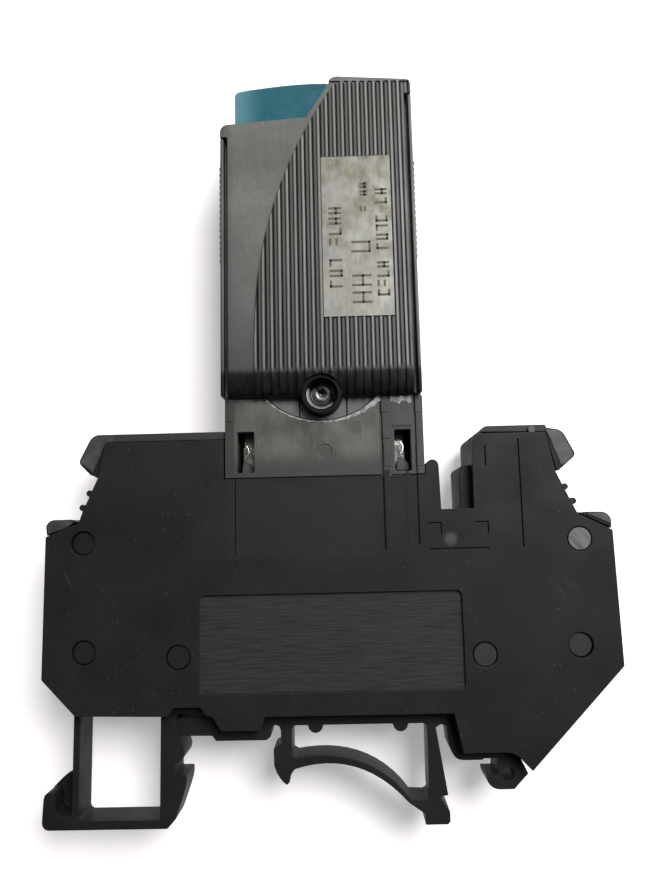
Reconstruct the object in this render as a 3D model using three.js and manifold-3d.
// A plug-in thermal circuit breaker seated in a fuse terminal block for a 35 mm top-hat rail.
// Millimetres. X runs along the block, Y through its thickness with the end cover towards -Y, Z is up.
// The origin is in the middle of the block in X and Y, at the level of its lowest foot.
import * as THREE from "three";
import { mergeVertices } from "three/addons/utils/BufferGeometryUtils.js";
import Module from "manifold-3d";

const wasm = await Module();
wasm.setup();

// ---------------------------------------------------------------- driving dimensions

// Terminal block
const BLOCK_DEPTH = 8.2; // in Y, over the end cover
const BLOCK_HALF_LENGTH = 31.65;
const COVER_THICKNESS = 1.4;
const FIT_GAP = 0.1; // between pieces that rest against each other
const BACK_WALL = 1.1;
const BODY_BOTTOM_Z = 12.2;
const COVER_TOP_Z = 42.3;
const SHOULDER_TOP_Z = 43.3;
const PIN_RADIUS = 1.35; // assembly pins of the housing, seen through holes of the cover
const MARK_DEPTH = 0.25; // grooves of the cover

// Rail feet
const FOOT_DEPTH = 4; // in Y
const RAIL_SEAT_Z = 6.6; // the top of the rail's flange
const RAIL_FLANGE = 1;
const RAIL_X = 0.25; // middle of the rail
const RAIL_WIDTH = 35;
const RAIL_PLAY = 0.1; // at each edge of the rail

// Screw clamps, one at each end
const CLAMP_X = 21;
const CAGE_LENGTH = 7; // in X
const CAGE_WIDTH = 5.2; // in Y
const CAGE_BOTTOM_Z = 20.8;
const CAGE_TOP_Z = 31.2;
const CAGE_PLATE = 0.8;
const BAR_BOTTOM_Z = 26.9;
const BAR_THICKNESS = 1.2;
const BAR_WIDTH = 3.4;
const SCREW_RADIUS = 2; // M4
const SCREW_HEAD_RADIUS = 2.5;
const SCREW_HEAD_Z = 35;
const SCREW_HEAD_HEIGHT = 2.6;
const TUNNEL_RADIUS = 2.75; // screwdriver hole in the shoulder

// Socket that guides the plug
const SOCKET_LEFT_X = -11.45;
const SOCKET_RIGHT_X = 11.05;
const SOCKET_BOTTOM_Z = 37.9;
const SOCKET_TOP_Z = 46.9;

// Breaker
const PLUG_X = -0.35; // its centre line
const PLUG_DEPTH = 12.2; // in Y
const PLUG_BOTTOM_Z = 47;
const PLUG_LEFT_X = -11.65;
const PLUG_RIGHT_X = 10.95;
const LEFT_EAR_Z = 77.9; // undersides of the lid's two corner ears
const RIGHT_EAR_Z = 82.8;
const LID_THICKNESS = 1.4;
const LID_GAP = 0.45; // open seam between the lid and the tray's side walls
const RIB_HEIGHT = 0.22; // ribs of the lid, above its smooth face
const RIB_WIDTH = 0.42;
const RIB_PITCH = 0.9457;
const RIB_COUNT = 19;
const FIRST_RIB_X = -7.59;
const RIM_LEFT_Z = 84.46; // lower edge of the plain rim above the ribs, at its left end
const RIM_RIGHT_Z = 84.15;
const GRIP_PITCH = 0.75; // serrated grips on the side walls
const GRIP_HEIGHT = 0.12;
const TRAY_WALL = 0.8;
const TRAY_LIP = 0.4; // the wall is thinner beside the lid
const NECK_HALF_WIDTH = 7.6; // in X, the part that enters the socket
const NECK_HALF_DEPTH = 2.7;
const NECK_BOTTOM_Z = 42.2;
const BLADE_SPACING = 13.8;
const BLADE_WIDTH = 5;
const BLADE_THICKNESS = 0.8;
const BLADE_BOTTOM_Z = 31.5;
const RIVET_X = -0.35;
const CONTACT_Z = 64;

const RAIL_EDGES = [RAIL_X - RAIL_WIDTH / 2 - RAIL_PLAY, RAIL_X + RAIL_WIDTH / 2 + RAIL_PLAY];
const FRONT = -BLOCK_DEPTH / 2;
const BACK = BLOCK_DEPTH / 2;
const COVER_BACK = FRONT + COVER_THICKNESS;
const BODY_FRONT = COVER_BACK + FIT_GAP;
const PLUG_FRONT = -PLUG_DEPTH / 2;
const PLUG_BACK = PLUG_DEPTH / 2;
const LID_BACK = PLUG_FRONT + LID_THICKNESS;
const LID_FACE = PLUG_FRONT + RIB_HEIGHT;

// ---------------------------------------------------------------- shape helpers

// Points of a circular arc in an outline, angles in degrees.
function arc(x, z, radius, fromDegrees, toDegrees, steps = 6) {
  const points = [];
  for (let i = 0; i <= steps; i += 1) {
    const angle = THREE.MathUtils.degToRad(fromDegrees + ((toDegrees - fromDegrees) * i) / steps);
    points.push([x + radius * Math.cos(angle), z + radius * Math.sin(angle)]);
  }
  return points;
}

// Points along a cubic Bezier curve in an outline.
function bend(start, pullStart, pullEnd, end, steps = 8) {
  const corners = [start, pullStart, pullEnd, end].map(([x, z]) => new THREE.Vector2(x, z));
  return new THREE.CubicBezierCurve(...corners).getPoints(steps).map((p) => [p.x, p.y]);
}

function toSolid(geometry) {
  const plain = geometry.index ? geometry.toNonIndexed() : geometry.clone();
  plain.deleteAttribute("normal");
  plain.deleteAttribute("uv");
  const merged = mergeVertices(plain, 1e-4);
  return new wasm.Manifold(
    new wasm.Mesh({
      numProp: 3,
      vertProperties: merged.attributes.position.array,
      triVerts: new Uint32Array(merged.index.array),
    }),
  );
}

// A plate whose outline lies in the XZ plane, between two Y planes.
function plateXZ(outline, front, back) {
  const shape = new THREE.Shape(outline.map(([x, z]) => new THREE.Vector2(x, z)));
  const geometry = new THREE.ExtrudeGeometry(shape, { depth: back - front, bevelEnabled: false });
  geometry.rotateX(Math.PI / 2);
  geometry.translate(0, back, 0);
  return toSolid(geometry);
}

// A bar whose outline lies in the YZ plane, between two X planes.
function barYZ(outline, left, right) {
  const shape = new THREE.Shape(outline.map(([y, z]) => new THREE.Vector2(y, z)));
  const geometry = new THREE.ExtrudeGeometry(shape, { depth: right - left, bevelEnabled: false });
  geometry.rotateX(Math.PI / 2);
  geometry.rotateZ(Math.PI / 2);
  geometry.translate(left, 0, 0);
  return toSolid(geometry);
}

function block(x0, x1, y0, y1, z0, z1) {
  const geometry = new THREE.BoxGeometry(x1 - x0, y1 - y0, z1 - z0);
  geometry.translate((x0 + x1) / 2, (y0 + y1) / 2, (z0 + z1) / 2);
  return toSolid(geometry);
}

function rodZ(x, radius, z0, z1, sides = 24) {
  const geometry = new THREE.CylinderGeometry(radius, radius, z1 - z0, sides);
  geometry.rotateX(Math.PI / 2);
  geometry.translate(x, 0, (z0 + z1) / 2);
  return toSolid(geometry);
}

function rodY(x, z, radius, y0, y1, sides = 28) {
  const geometry = new THREE.CylinderGeometry(radius, radius, y1 - y0, sides);
  geometry.translate(x, (y0 + y1) / 2, z);
  return toSolid(geometry);
}

function rodX(x0, x1, z, radius, sides = 16) {
  const geometry = new THREE.CylinderGeometry(radius, radius, x1 - x0, sides);
  geometry.rotateZ(Math.PI / 2);
  geometry.translate((x0 + x1) / 2, 0, z);
  return toSolid(geometry);
}

function joined(...solids) {
  return solids.reduce((sum, solid) => sum.add(solid));
}

function cut(solid, ...tools) {
  return tools.reduce((left, tool) => left.subtract(tool), solid);
}

// The same solid on the other side of the YZ plane.
function mirrored(solid) {
  return solid.mirror([1, 0, 0]);
}

// ---------------------------------------------------------------- terminal block

// Rounded noses at both ends and the ears of the shoulders above them, each clockwise.
const LEFT_NOSE = [...arc(-30.9, 32.75, 0.95, 170, 90), [-29, 33.7]];
const LEFT_EAR = [[-26.9, 38.7], ...arc(-27.45, 40.25, 0.72, 215, 155), ...arc(-26, 42.1, 1.2, 160, 90)];
const RIGHT_EAR = [[24.9, 43.2], [25, 42.85], ...arc(25.85, 41.4, 1.29, 90, 20), ...arc(27.42, 39.82, 0.58, 36, -48)];
const RIGHT_NOSE = [[28.9, 33.25], ...arc(30.45, 32.1, 1.12, 90, 0)];

// Lower and upper end of the slanted edges between a nose and an ear.
const LEFT_SLANT = [[-28.1, 33.2], [-25.95, 38.1]];
const RIGHT_SLANT = [[25.62, 37.7], [27.7, 33.1]];

// Outline of the housing's main body, clockwise from its lower left corner.
function bodyOutline() {
  const end = BLOCK_HALF_LENGTH;
  return [
    [-27.85, BODY_BOTTOM_Z],
    [-end, 16.3],
    [-end, 32.7],
    ...LEFT_NOSE,
    ...LEFT_SLANT,
    ...LEFT_EAR,
    [-11.55, SHOULDER_TOP_Z],
    [-11.55, SOCKET_BOTTOM_Z - FIT_GAP],
    [11.15, SOCKET_BOTTOM_Z - FIT_GAP],
    [11.15, 39],
    ...arc(11.9, 38.8, 0.7, 150, 0),
    [12.7, 33.9],
    [15.1, 33.9],
    [15.1, 38.3],
    ...arc(15.7, 38.3, 0.6, 180, 90, 3),
    [16.4, 38.9],
    ...arc(17.3, 41.5, 0.9, 180, 90, 3),
    ...arc(18.3, 42.5, 0.7, 180, 90, 3),
    ...RIGHT_EAR,
    ...RIGHT_SLANT,
    ...RIGHT_NOSE,
    [end, 30.5],
    [end, 16.6],
    [21.3, 6.1],
    [20.15, 7.3],
    [13.95, 8],
    [13.15, BODY_BOTTOM_Z],
  ];
}

// Half-round ridges on the slanted edges, which hold a marker strip.
function markerRidges(front, back) {
  const places = [[-26.77, 36.56], [-27.53, 34.97], [26.5, 36.08], [27.31, 34.47]];
  return places.map(([x, z]) => rodY(x, z, 0.37, front, back, 12));
}

// The ceiling under the body, with the posts and the arched spring for a 32 mm rail.
function footBand() {
  const ceiling = 10.55;
  const postBottom = 4.3;
  return [
    [-17, 11.6],
    [-17, 9.65],
    [-13.3, 9.6],
    [-12.9, 9.04],
    [-7.3, 9.04],
    [-6.85, 9.4],
    ...arc(-6.3, 10.1, 0.55, 180, 0),
    [-5.65, 8.6],
    [-6.55, 8.1],
    [-6.5, 6.3],
    ...bend([-6.5, 6.3], [-6.2, 5.3], [-5.6, 4.6], [-5.13, postBottom], 4),
    [-4.8, 4.6],
    [-4.7, 5.4],
    ...bend([-4.2, 5.95], [0.3, 7.3], [4.6, 6.2], [8.1, 2.3], 12),
    [9.85, 1.1],
    [9.85, 0],
    [12.3, 0],
    [12.55, 0.3],
    [12.55, 1.3],
    [11.6, 2.85],
    [12.42, 3],
    [11.4, 9.7],
    ...arc(12, 9.8, 0.6, 180, 0),
    [12.75, 8],
    ...bend([12.75, 8], [13.1, 7.2], [13.3, RAIL_SEAT_Z], [14.1, RAIL_SEAT_Z], 4),
    [16.3, RAIL_SEAT_Z],
    [16.45, RAIL_SEAT_Z + 0.15],
    [RAIL_EDGES[1], RAIL_SEAT_Z + 0.15],
    [RAIL_EDGES[1], 5],
    [16.65, 5],
    ...arc(18, 4.85, 1.35, 180, 270),
    [19.6, 3.5],
    [21.2, 5.1],
    [20.5, 6.6],
    [20.5, 13.5],
    [-14.2, 13.5],
    [-14.2, 11.6],
  ];
}

// The opening between the arched spring, its two posts and the ceiling.
function archOpening() {
  return [
    ...arc(-4, 10.05, 0.5, 180, 90, 3),
    ...arc(-1.87, 10.55, 0.85, 180, 360, 6),
    ...arc(7.5, 10.55, 0.85, 180, 360, 6),
    ...arc(9.95, 10.1, 0.45, 90, 0, 3),
    [10.35, 3.2],
    ...arc(9.9, 3.05, 0.5, -10, -90, 3),
    ...bend([8.4, 2.6], [5.3, 6.9], [0.5, 7.9], [-4, 7.1], 12),
    [-4.5, 7.4],
  ];
}

function railFeet() {
  const half = FOOT_DEPTH / 2;
  const band = plateXZ(footBand(), -half, half);
  const opening = plateXZ(archOpening(), -half - 1, half + 1);
  const pinHole = rodY(19, 5.13, 0.66, -half - 1, half + 1, 16);
  return cut(band, opening, pinHole);
}

// Chamber, wire funnel and screwdriver tunnel of the clamp on the left.
function clampHollow() {
  const chamber = block(-25.2, -16.8, BODY_FRONT - 1, BACK - BACK_WALL, 20.5, SCREW_HEAD_Z + 0.3);
  const throat = block(-32.5, -25, BODY_FRONT - 1, 2.5, 21.6, 27.6);
  const funnel = block(-32.5, -30.4, BODY_FRONT - 1, 3, 21, 28.2);
  const tunnel = rodZ(-CLAMP_X, TUNNEL_RADIUS, SCREW_HEAD_Z, SHOULDER_TOP_Z + 1);
  const slot = block(-17, -9, -2.1, 2.1, BAR_BOTTOM_Z - 0.3, BAR_BOTTOM_Z + BAR_THICKNESS + 0.3);
  return joined(chamber, throat, funnel, tunnel, slot);
}

// Room for one contact clip and the blade that enters it.
function contactHollow(centre) {
  return block(centre - 3.5, centre + 3.4, BODY_FRONT - 1, BACK - BACK_WALL, BAR_BOTTOM_Z - 0.3, 40);
}

// Slots that the roots of the sprung foot slide in.
function latchSlots() {
  const half = FOOT_DEPTH / 2 + 0.2;
  const low = BODY_BOTTOM_Z - 4;
  return joined(block(-30.2, -27.6, -half, half, low, 15), block(-20.5, -17.15, -half, half, low, 15));
}

const PIN_PLACES = [
  // x, z, how far the pin's end lies behind the cover's face
  [-27.4, 31, 0.35],
  [-27.05, 19.1, 0.35],
  [-16.65, 18.4, 0.25],
  [16.75, 18.1, 0],
  [27.75, 30.3, 0],
  [27.15, 18.9, 0.3],
];

function assemblyPins(radius, extra = 0) {
  return PIN_PLACES.map(([x, z, sink]) => rodY(x, z, radius, FRONT + sink - extra, 0));
}

function baseHousing() {
  const body = joined(plateXZ(bodyOutline(), BODY_FRONT, BACK), railFeet(), ...markerRidges(BODY_FRONT, BACK));
  const hollows = [
    clampHollow(),
    mirrored(clampHollow()),
    contactHollow(PLUG_X - BLADE_SPACING / 2),
    contactHollow(PLUG_X + BLADE_SPACING / 2),
    latchSlots(),
  ];
  const rims = topRims();
  return joined(cut(body, ...hollows), ...rims, ...assemblyPins(PIN_RADIUS - 0.1));
}

// Thin front lips of the housing that frame the cover along the shoulders and the noses.
function topRims() {
  const lip = [BODY_FRONT - 1, BODY_FRONT + 0.5];
  const left = [
    [-11.55, COVER_TOP_Z + FIT_GAP],
    [-11.55, SHOULDER_TOP_Z],
    ...[...LEFT_EAR].reverse(),
    [-26.15, 38.4],
    [-25.3, COVER_TOP_Z + FIT_GAP],
  ];
  const right = [
    ...arc(18.3, 42.5, 0.7, 180, 90, 3),
    ...RIGHT_EAR,
    [26.1, 37.95],
    [25.8, 38.05],
    [24.85, COVER_TOP_Z + FIT_GAP],
  ];
  const lowLeft = [[-31.7, 31.95], ...LEFT_NOSE, [-28.4, 33.4]];
  const lowRight = [[28.05, 33.1], ...RIGHT_NOSE, [31.5, 31.4]];
  return [left, right, lowLeft, lowRight].map((outline) => plateXZ(outline, ...lip));
}

function coverOutline() {
  const end = BLOCK_HALF_LENGTH;
  return [
    [-27.85, 12.4],
    [-end, 16.3],
    [-end, 31.8],
    ...LEFT_SLANT,
    [-25.15, COVER_TOP_Z],
    [-11.6, COVER_TOP_Z],
    [-11.6, SOCKET_BOTTOM_Z - FIT_GAP],
    [11.15, SOCKET_BOTTOM_Z - FIT_GAP],
    [11.15, 38.8],
    ...arc(11.9, 38.8, 0.7, 180, 0),
    [12.7, 33.9],
    [16.3, 33.9],
    [16.4, 41.2],
    ...arc(17.4, 41.3, 1, 175, 90, 3),
    [24.7, COVER_TOP_Z],
    ...RIGHT_SLANT,
    [31.45, 31.2],
    [end, 16.6],
    [21.2, 6],
    [20.15, 7.1],
    ...arc(18.6, 6, 1.9, 45, 90, 3),
    [14, 7.9],
    [13.15, 12],
    [-7.25, 12],
    [-7.75, 10.6],
    [-11.95, 10.6],
    [-12.9, 12.1],
    [-13.6, BODY_BOTTOM_Z],
    [-14.2, 13.1],
    [-17.2, 13.1],
    [-17.8, BODY_BOTTOM_Z],
  ];
}

// Recessed panel for a marking strip, with rounded corners.
function coverRecess() {
  const [left, right, low, high, radius] = [-14.35, 14.55, 14.5, 25, 0.45];
  const outline = [
    ...arc(left + radius, low + radius, radius, 180, 270, 2),
    ...arc(right - radius, low + radius, radius, 270, 360, 2),
    ...arc(right - radius, high - radius, radius, 0, 90, 2),
    ...arc(left + radius, high - radius, radius, 90, 180, 2),
  ];
  return plateXZ(outline, FRONT - 1, FRONT + 0.4);
}

// A straight shallow groove in a front face, along X or Z.
function groove(x0, x1, z0, z1) {
  return block(x0, x1, FRONT - 1, FRONT + MARK_DEPTH, z0, z1);
}

function coverMarks() {
  return [
    groove(6.15, 6.4, 29.5, 38),
    groove(10, 10.2, 30, 38),
    groove(-10.35, -10.25, 29.3, 38),
    groove(21.5, 21.65, 29.5, 41.6),
    groove(17.75, 17.9, 38.6, 40.9),
    groove(11.2, 12.65, 32.3, 32.45),
    groove(12.5, 12.65, 31.1, 32.4),
    groove(16.4, 17.85, 32.3, 32.45),
    groove(17.7, 17.85, 31.1, 32.4),
    groove(11.2, 17.8, 29.45, 29.6),
  ];
}

function endCover() {
  const plate = joined(plateXZ(coverOutline(), FRONT, COVER_BACK), ...markerRidges(FRONT, COVER_BACK));
  return cut(plate, coverRecess(), ...coverMarks(), ...assemblyPins(PIN_RADIUS, 1));
}

// ---------------------------------------------------------------- sprung rail foot

function latchFoot() {
  const half = FOOT_DEPTH / 2;
  const end = -32;
  const top = 14.6;
  const frame = [
    [-28.75, top],
    [-28.75, 1.45],
    [-29.9, 1.45],
    [-30.6, 2.1],
    ...arc(-31.25, 3.3, 0.65, 0, 180, 5),
    [end, 1],
    ...arc(end + 0.8, 0.8, 0.8, 180, 270),
    [-18.2, 0],
    [-17.3, 1],
    ...bend([-16.45, 3.4], [-16.1, 4.4], [-16, 5], [-16.1, 5.55], 3),
    [RAIL_EDGES[0], RAIL_SEAT_Z - RAIL_FLANGE - 0.05],
    [RAIL_EDGES[0], RAIL_SEAT_Z + 0.05],
    ...bend([-16.9, 6.9], [-16.1, 7.5], [-16.1, 8.3], [-17.15, 9.6], 4),
    [-17.3, 10.5],
    [-17.3, top],
    [-19.05, top],
    [-19.05, 0.95],
    ...arc(-27.5, 1.45, 0.5, 270, 180, 3),
    [-28, top],
  ];
  // The wall behind the screwdriver pocket, with a sloping top edge.
  const pocketWall = [[-28.5, 1], [-28.5, 6.1], [-30.66, 4.85], [end + 0.15, 3.7], [end + 0.15, 1.4], [-31, 0.9]];
  return joined(plateXZ(frame, -half, half), plateXZ(pocketWall, 0.6, half));
}

// ---------------------------------------------------------------- current path of the block

function clampCage(x) {
  const half = CAGE_WIDTH / 2;
  const outer = block(x - CAGE_LENGTH / 2, x + CAGE_LENGTH / 2, -half, half, CAGE_BOTTOM_Z, CAGE_TOP_Z);
  const inside = half - CAGE_PLATE;
  const high = BAR_BOTTOM_Z + BAR_THICKNESS + 0.7;
  const window = block(x - CAGE_LENGTH, x + CAGE_LENGTH, -inside, inside, CAGE_BOTTOM_Z + CAGE_PLATE, high);
  return cut(outer, window, rodZ(x, SCREW_RADIUS + 0.05, CAGE_BOTTOM_Z + CAGE_PLATE, CAGE_TOP_Z + 1));
}

// A slotted screw whose thread is a row of rings at the thread's own pitch.
function clampScrew() {
  const tip = BAR_BOTTOM_Z + BAR_THICKNESS + 0.1;
  const pitch = 0.7;
  const root = SCREW_RADIUS - 0.4;
  const profile = [[0, tip], [root - 0.3, tip], [root, tip + 0.3]];
  for (let z = tip + 0.6; z < SCREW_HEAD_Z - 1; z += pitch) {
    profile.push([root, z], [SCREW_RADIUS - 0.02, z + pitch / 2]);
  }
  const headTop = SCREW_HEAD_Z + SCREW_HEAD_HEIGHT;
  profile.push([root, SCREW_HEAD_Z - 0.5], [root, SCREW_HEAD_Z], [SCREW_HEAD_RADIUS, SCREW_HEAD_Z]);
  profile.push([SCREW_HEAD_RADIUS, headTop - 0.4], [SCREW_HEAD_RADIUS - 0.4, headTop], [0, headTop]);
  const lathe = new THREE.LatheGeometry(profile.map(([r, z]) => new THREE.Vector2(r, z)), 16);
  lathe.rotateX(Math.PI / 2);
  const slot = block(-3, 3, -0.4, 0.4, headTop - 1.3, headTop + 1);
  return cut(toSolid(lathe), slot);
}

function currentBar() {
  const half = BAR_WIDTH / 2;
  return block(-24.8, PLUG_X - 4.6, -half, half, BAR_BOTTOM_Z, BAR_BOTTOM_Z + BAR_THICKNESS);
}

// A U-shaped spring clip whose two leaves pinch a blade and flare out above it.
function contactClip(centre) {
  const base = BAR_BOTTOM_Z + BAR_THICKNESS + 0.05;
  const sheet = 0.4;
  const pinch = BLADE_THICKNESS / 2 + 0.06;
  const leaf = [[1.5, base], [1.5, base + 4], [pinch, base + 10], [1.3, base + 13.5]];
  const inner = leaf.map(([y, z], i) => [i === 2 ? y : y - sheet, i === 0 ? z + sheet : z]);
  const outer = leaf.map(([y, z], i) => [i === 2 ? y + sheet : y, z]);
  const right = [...outer, ...inner.reverse()];
  const left = right.map(([y, z]) => [-y, z]).reverse();
  return barYZ([...right, ...left], centre - BLADE_WIDTH / 2, centre + BLADE_WIDTH / 2);
}

// ---------------------------------------------------------------- plug socket

function plugSocket() {
  const outer = block(SOCKET_LEFT_X, SOCKET_RIGHT_X, FRONT, BACK, SOCKET_BOTTOM_Z, SOCKET_TOP_Z);
  const inside = NECK_HALF_DEPTH + 0.25;
  const bore = block(-10.3, 9.75, -inside, inside, SOCKET_BOTTOM_Z - 1, SOCKET_TOP_Z + 1);
  const bow = rodY(-0.4, 52.95, 8.75, FRONT - 1, BACK + 1, 64);
  const leftWindow = block(-10.05, -8.15, FRONT - 1, FRONT + 2, 38.45, 43.1);
  const rightWindow = block(7.75, 9.55, FRONT - 1, FRONT + 2, 38.3, 42.95);
  const dimple = rodY(-0.15, 40.7, 0.85, FRONT - 1, FRONT + 0.12, 20);
  const marks = [groove(6.15, 6.4, 37, 47), groove(10, 10.2, 37, 47)];
  return cut(outer, bore, bow, leftWindow, rightWindow, dimple, ...marks);
}

// ---------------------------------------------------------------- breaker casing

// Outline of the breaker's head above its shoulders, from upper left to upper right.
function headTop() {
  return [
    ...arc(-10.75, 78.6, 0.9, 175, 95),
    [-1.5, 80.15],
    [1.15, 84.2],
    ...arc(2.2, 83.95, 1.1, 140, 90, 3),
    ...arc(10.3, 83.8, 0.65, 85, 0, 3),
  ];
}

// Section of the lid across its front face, which turns in towards the socket along a quarter ellipse.
function faceProfile(face, bottom, depth, height) {
  const turnIn = [];
  for (let i = 0; i <= 6; i += 1) {
    const angle = (Math.PI / 2) * (i / 6);
    turnIn.push([face + depth * (1 - Math.sin(angle)), bottom + height * (1 - Math.cos(angle))]);
  }
  return [[LID_BACK, bottom], ...turnIn, [face, 90], [LID_BACK, 90]];
}

// Raised ribs that run round the turned-in bottom and end on an arc that rises to the right.
function lidRibs() {
  const profile = faceProfile(PLUG_FRONT, PLUG_BOTTOM_Z - 0.2, 1.1 + RIB_HEIGHT, 2.9);
  const ribs = [];
  for (let i = 0; i < RIB_COUNT; i += 1) {
    const left = FIRST_RIB_X + RIB_PITCH * i - RIB_WIDTH / 2;
    ribs.push(barYZ(profile, left, left + RIB_WIDTH));
  }
  const field = [
    [-8, 46],
    [-8, 54],
    ...arc(44.15, 54, 51.85, 180, 144.4, 24),
    [2.5, RIM_LEFT_Z + 0.1],
    [12, RIM_RIGHT_Z + 0.1],
    [12, 46],
  ];
  return joined(...ribs).intersect(plateXZ(field, PLUG_FRONT - 1, 0));
}

function breakerLid() {
  const seam = TRAY_LIP + LID_GAP;
  const outline = [
    [PLUG_LEFT_X + seam, PLUG_BOTTOM_Z],
    [PLUG_LEFT_X + seam, LEFT_EAR_Z],
    [PLUG_LEFT_X, LEFT_EAR_Z],
    ...headTop(),
    [PLUG_RIGHT_X, RIGHT_EAR_Z],
    [PLUG_RIGHT_X - seam, RIGHT_EAR_Z],
    [PLUG_RIGHT_X - seam, PLUG_BOTTOM_Z],
  ];
  const plate = plateXZ(outline, PLUG_FRONT, LID_BACK);
  const smooth = barYZ(faceProfile(LID_FACE, PLUG_BOTTOM_Z, 1.1, 2.7), -15, 15);
  const rimSection = [[0.9, RIM_LEFT_Z], [12, RIM_RIGHT_Z], [12, 90], [0.9, 90]];
  const topRim = plateXZ(rimSection, PLUG_FRONT, LID_BACK);
  const head = joined(plate.intersect(joined(smooth, topRim)), lidRibs());
  const neck = neckHalf(-NECK_HALF_DEPTH, -FIT_GAP / 2);
  const web = block(PLUG_X - 9, PLUG_X + 9, LID_BACK - 0.2, -NECK_HALF_DEPTH + 0.5, PLUG_BOTTOM_Z, 48);
  const boss = rodY(RIVET_X, PLUG_BOTTOM_Z, 2.25, -5.6, -1.6, 32);
  const bossRoom = rodY(RIVET_X, PLUG_BOTTOM_Z, 2.25, -9, -5.6, 32);
  const well = rodY(RIVET_X, PLUG_BOTTOM_Z, 1.8, -9, -4.9, 28);
  const shankHole = rodY(RIVET_X, PLUG_BOTTOM_Z, 1.15, -9, 9, 20);
  const label = labelPlate(0.03, PLUG_FRONT - 1);
  const skirt = block(-8, 7.3, -NECK_HALF_DEPTH - 0.2, -1.6, 41.5, PLUG_BOTTOM_Z + 0.5);
  const tongueGaps = [-2.97, 2.4].map((x) => block(x, x + 0.12, -5, -NECK_HALF_DEPTH, 40, PLUG_BOTTOM_Z - 0.02));
  const casing = cut(joined(head, neck, web, skirt), ...tongueGaps, bossRoom);
  return cut(joined(casing, boss), well, shankHole, label);
}

// One half of the neck: a U-shaped trough for the blades, open towards the other half.
function neckHalf(front, back) {
  const left = PLUG_X - NECK_HALF_WIDTH;
  const right = PLUG_X + NECK_HALF_WIDTH;
  const outer = block(left, right, front, back, NECK_BOTTOM_Z, 47.5);
  const reach = BLADE_WIDTH / 2 + 0.1;
  const depth = BLADE_THICKNESS / 2 + 0.1;
  const slots = [PLUG_X - BLADE_SPACING / 2, PLUG_X + BLADE_SPACING / 2].map((centre) =>
    block(centre - reach, centre + reach, -depth, depth, NECK_BOTTOM_Z - 1, 50),
  );
  return cut(outer, ...slots);
}

function labelPlate(margin, front) {
  const back = LID_FACE + 0.1 + margin;
  return block(0.15 - margin, 8.15 + margin, front, back, 55.7 - margin, 74.9 + margin);
}

// Small teeth up a side wall, from bottom to top.
function serration(x, height) {
  const points = [];
  for (let i = 0; i < 16; i += 1) {
    const z = 62.4 + i * GRIP_PITCH;
    points.push([x, z], [x + height, z + GRIP_PITCH / 2]);
  }
  return [...points, [x, 62.4 + 16 * GRIP_PITCH]];
}

function breakerTray() {
  const outline = [
    [PLUG_LEFT_X, PLUG_BOTTOM_Z],
    ...serration(PLUG_LEFT_X, -GRIP_HEIGHT),
    ...headTop(),
    ...serration(PLUG_RIGHT_X, GRIP_HEIGHT).reverse(),
    [PLUG_RIGHT_X, PLUG_BOTTOM_Z],
  ];
  const rim = PLUG_FRONT + 0.4;
  const seat = LID_BACK + FIT_GAP;
  const shell = plateXZ(outline, rim, PLUG_BACK);
  const inner = [PLUG_LEFT_X + TRAY_WALL, PLUG_RIGHT_X - TRAY_WALL];
  const back = PLUG_BACK - 1.2;
  const lidRoom = block(PLUG_LEFT_X + TRAY_LIP, PLUG_RIGHT_X - TRAY_LIP, rim - 1, seat, 40, 90);
  const leftEar = block(PLUG_LEFT_X - 1, -5, rim - 1, seat, LEFT_EAR_Z - FIT_GAP, 90);
  const rightEar = block(5, PLUG_RIGHT_X + 1, rim - 1, seat, RIGHT_EAR_Z - FIT_GAP, 90);
  const cavity = block(inner[0] + 0.5, inner[1] - 0.5, rim - 1, back, 48.1, 72);
  const buttonRoom = block(-10.3, 0.75, rim - 1, 4.6, 71.5, 90);
  const shoulderRoom = block(1.9, 9.6, rim - 1, back, 73.2, 83);
  const neckRoom = block(PLUG_X - 9, PLUG_X + 9, rim - 1, -NECK_HALF_DEPTH + 0.6, 40, 48.2);
  const bladeRoom = block(PLUG_X - 9.5, PLUG_X + 9.5, -1, 0.5, 40, 49);
  const neck = neckHalf(FIT_GAP / 2, NECK_HALF_DEPTH);
  const lidNeckRoom = block(
    PLUG_X - NECK_HALF_WIDTH - FIT_GAP, PLUG_X + NECK_HALF_WIDTH + FIT_GAP,
    -NECK_HALF_DEPTH - FIT_GAP, FIT_GAP / 2, 40, 47.6,
  );
  const bossRoom = rodY(RIVET_X, PLUG_BOTTOM_Z, 2.35, -7, FIT_GAP / 2, 32);
  const shankHole = rodY(RIVET_X, PLUG_BOTTOM_Z, 1.15, -9, 9, 20);
  const backWell = rodY(RIVET_X, PLUG_BOTTOM_Z, 1.8, 4.9, 9, 28);
  const backBoss = rodY(RIVET_X, PLUG_BOTTOM_Z, 2.25, 1.6, 5.6, 32);
  const open = cut(shell, lidRoom, leftEar, rightEar, cavity, buttonRoom, shoulderRoom);
  const whole = joined(cut(open, neckRoom, bladeRoom, lidNeckRoom, bossRoom), neck, backBoss);
  return cut(whole, shankHole, backWell);
}

// A tubular rivet with a domed head in front and a rolled end behind.
function rivet() {
  const bore = 0.5;
  const shank = 1.05;
  const head = [[1.7, 4.95], [1.72, 5.2], [1.4, 5.45], [0.75, 5.45], [bore, 5.2]];
  const profile = [
    [bore, -5.2],
    ...head.map(([r, y]) => [r, -y]).reverse().slice(1),
    [shank, -4.95],
    [shank, 4.95],
    ...head,
    [bore, -5.2],
  ];
  const lathe = new THREE.LatheGeometry(profile.map(([r, y]) => new THREE.Vector2(r, y)), 24);
  lathe.translate(RIVET_X, 0, PLUG_BOTTOM_Z);
  return toSolid(lathe);
}

// ---------------------------------------------------------------- inside the breaker

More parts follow.
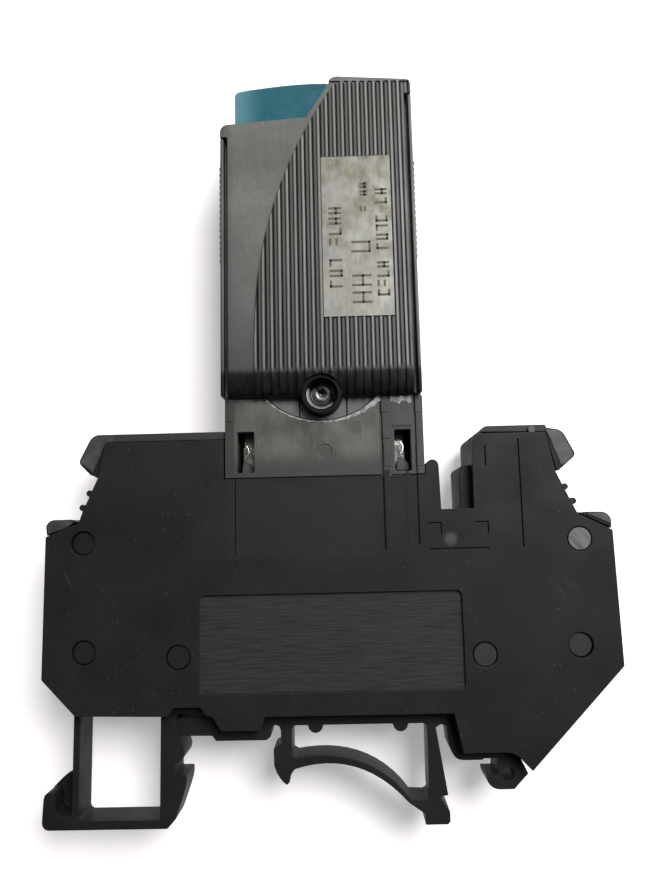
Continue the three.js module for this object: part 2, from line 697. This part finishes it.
const LEFT_BLADE_X = PLUG_X - BLADE_SPACING / 2;
const RIGHT_BLADE_X = PLUG_X + BLADE_SPACING / 2;
const STRIP_X = -3.6; // the bimetal strip at rest
const STRIP_ROOT_Z = 53;
const CONTACT_RADIUS = 1.4;
const SPRING_X = -7.6;

// Outline of a flat blade with a tapered tip.
function bladeTip(centre) {
  const half = BLADE_WIDTH / 2;
  return [
    [centre - half, 51],
    [centre - half, BLADE_BOTTOM_Z + 0.8],
    [centre - half + 0.8, BLADE_BOTTOM_Z],
    [centre + half - 0.8, BLADE_BOTTOM_Z],
    [centre + half, BLADE_BOTTOM_Z + 0.8],
  ];
}

function leftBlade() {
  const half = BLADE_THICKNESS / 2;
  const outline = [...bladeTip(LEFT_BLADE_X), [LEFT_BLADE_X + 2.5, 50], [STRIP_X - 0.4, 50], [STRIP_X - 0.4, 51]];
  return plateXZ(outline, -half, half);
}

function rightBlade() {
  const half = BLADE_THICKNESS / 2;
  const outline = [
    ...bladeTip(RIGHT_BLADE_X),
    [RIGHT_BLADE_X + 2.5, 60],
    [1.6, CONTACT_Z - 2],
    [1.6, CONTACT_Z + 2],
    [0.2, CONTACT_Z + 2],
    [0.2, CONTACT_Z - 3],
    [RIGHT_BLADE_X - 2.5, 57],
  ];
  return plateXZ(outline.reverse(), -half, half);
}

// Carrier that clamps the strip's root to the left blade.
function stripCarrier() {
  return block(STRIP_X - 3, STRIP_X + 1.2, 0.5, 3.5, 49, STRIP_ROOT_Z - 0.2);
}

// It stands straight while the contacts are closed and swings left about its root when it trips.
function bimetalStrip() {
  return block(STRIP_X - 0.2, STRIP_X + 0.2, -2, 2, STRIP_ROOT_Z, CONTACT_Z + 2);
}

function movingContact() {
  return rodX(STRIP_X + 0.22, STRIP_X + 1.4, CONTACT_Z, CONTACT_RADIUS);
}

function fixedContact() {
  return rodX(STRIP_X + 1.45, 0.17, CONTACT_Z, CONTACT_RADIUS);
}

// The insulating slide under the button, with a barrier that rises between the open contacts.
function tripSlider() {
  const plate = block(-9.6, 0.2, -3.4, 3.4, 73.4, 74.6);
  const barrierTop = CONTACT_Z - CONTACT_RADIUS - 1.9;
  const leg = block(-3.2, -2.5, 2.3, 3.4, barrierTop - 2.3, 73.6);
  const barrier = block(-3.2, -2.5, -1.8, 3.4, barrierTop - 2.3, barrierTop);
  const springPeg = rodZ(SPRING_X, 0.7, 71.4, 73.6, 12);
  return joined(plate, leg, barrier, springPeg);
}

function resetButton() {
  const outline = [
    [-10.1, 74.7],
    ...arc(-9.5, 84.05, 0.6, 180, 100, 3),
    ...bend([-8, 84.98], [-5, 85.46], [-2, 85.62], [1.2, 85.56], 5),
    [1.2, 84.7],
    [0.45, 83.5],
    [0.45, 74.7],
  ];
  return plateXZ(outline, -4.3, 4.3);
}

// A helical compression spring, standing on a ledge of the tray.
function buttonSpring() {
  const [radius, wire, turns, low, high] = [1.4, 0.22, 5, 61.6, 73.1];
  const points = [];
  const perTurn = 12;
  for (let i = 0; i <= turns * perTurn; i += 1) {
    const angle = (2 * Math.PI * i) / perTurn;
    const z = low + ((high - low) * i) / (turns * perTurn);
    points.push(new THREE.Vector3(SPRING_X + radius * Math.cos(angle), radius * Math.sin(angle), z));
  }
  const ring = new THREE.Shape();
  ring.absarc(0, 0, wire, 0, 2 * Math.PI, false);
  const path = new THREE.CatmullRomCurve3(points);
  const settings = { steps: turns * perTurn, extrudePath: path, curveSegments: 3, bevelEnabled: false };
  return toSolid(new THREE.ExtrudeGeometry(ring, settings));
}

function springLedge() {
  return block(-10.5, -5.9, -3.4, 4.9, 60, 61.2);
}

// ---------------------------------------------------------------- assembly

const PLASTIC_BLACK = { color: 0x2a2a2b, roughness: 0.6, metalness: 0 };
const PLASTIC_OLIVE = { color: 0x45463f, roughness: 0.55, metalness: 0 };
const CASING = { color: 0x3a3c3a, roughness: 0.45, metalness: 0 };
const TEAL = { color: 0x2f6f86, roughness: 0.3, metalness: 0 };
const PLATED_STEEL = { color: 0xb9bcc0, roughness: 0.35, metalness: 1 };
const COPPER = { color: 0xc9b38a, roughness: 0.35, metalness: 1 };
const SILVER = { color: 0xb8b6b0, roughness: 0.4, metalness: 0.8 };

const assembly = new THREE.Group();

function add(name, solid, look, parent = assembly) {
  const { numProp, vertProperties, triVerts } = solid.getMesh();
  if (numProp !== 3) throw new Error(`${name} has more than positions`);
  const geometry = new THREE.BufferGeometry();
  geometry.setAttribute("position", new THREE.BufferAttribute(new Float32Array(vertProperties), 3));
  geometry.setIndex(new THREE.BufferAttribute(new Uint32Array(triVerts), 1));
  geometry.computeVertexNormals();
  const mesh = new THREE.Mesh(geometry, new THREE.MeshStandardMaterial({ flatShading: true, ...look }));
  mesh.name = name;
  parent.add(mesh);
  return mesh;
}

add("base_housing", baseHousing(), PLASTIC_BLACK);
add("end_cover", endCover(), PLASTIC_BLACK);
add("rail_latch_foot", latchFoot(), PLASTIC_BLACK);
add("plug_socket", plugSocket(), PLASTIC_OLIVE);
for (const [side, x, flip] of [["left", -CLAMP_X, false], ["right", CLAMP_X, true]]) {
  add(`clamp_cage_${side}`, clampCage(x), PLATED_STEEL);
  add(`clamp_screw_${side}`, clampScrew(), PLATED_STEEL).position.x = x;
  const bar = currentBar();
  add(`current_bar_${side}`, flip ? mirrored(bar) : bar, COPPER);
}
add("contact_clip_left", contactClip(LEFT_BLADE_X), COPPER);
add("contact_clip_right", contactClip(RIGHT_BLADE_X), COPPER);

add("breaker_lid", breakerLid(), CASING);
add("breaker_tray", joined(breakerTray(), springLedge()), CASING);
add("casing_rivet", rivet(), PLATED_STEEL);
add("rating_label", labelPlate(0, PLUG_FRONT), SILVER);
add("blade_left", leftBlade(), COPPER);
add("blade_right", rightBlade(), COPPER);
add("strip_carrier", stripCarrier(), PLATED_STEEL);
add("bimetal_strip", bimetalStrip(), COPPER);
add("moving_contact", movingContact(), SILVER);
add("fixed_contact", fixedContact(), SILVER);
add("trip_slider", tripSlider(), PLASTIC_BLACK);
add("reset_button", resetButton(), TEAL);
add("button_spring", buttonSpring(), PLATED_STEEL);

export default assembly;
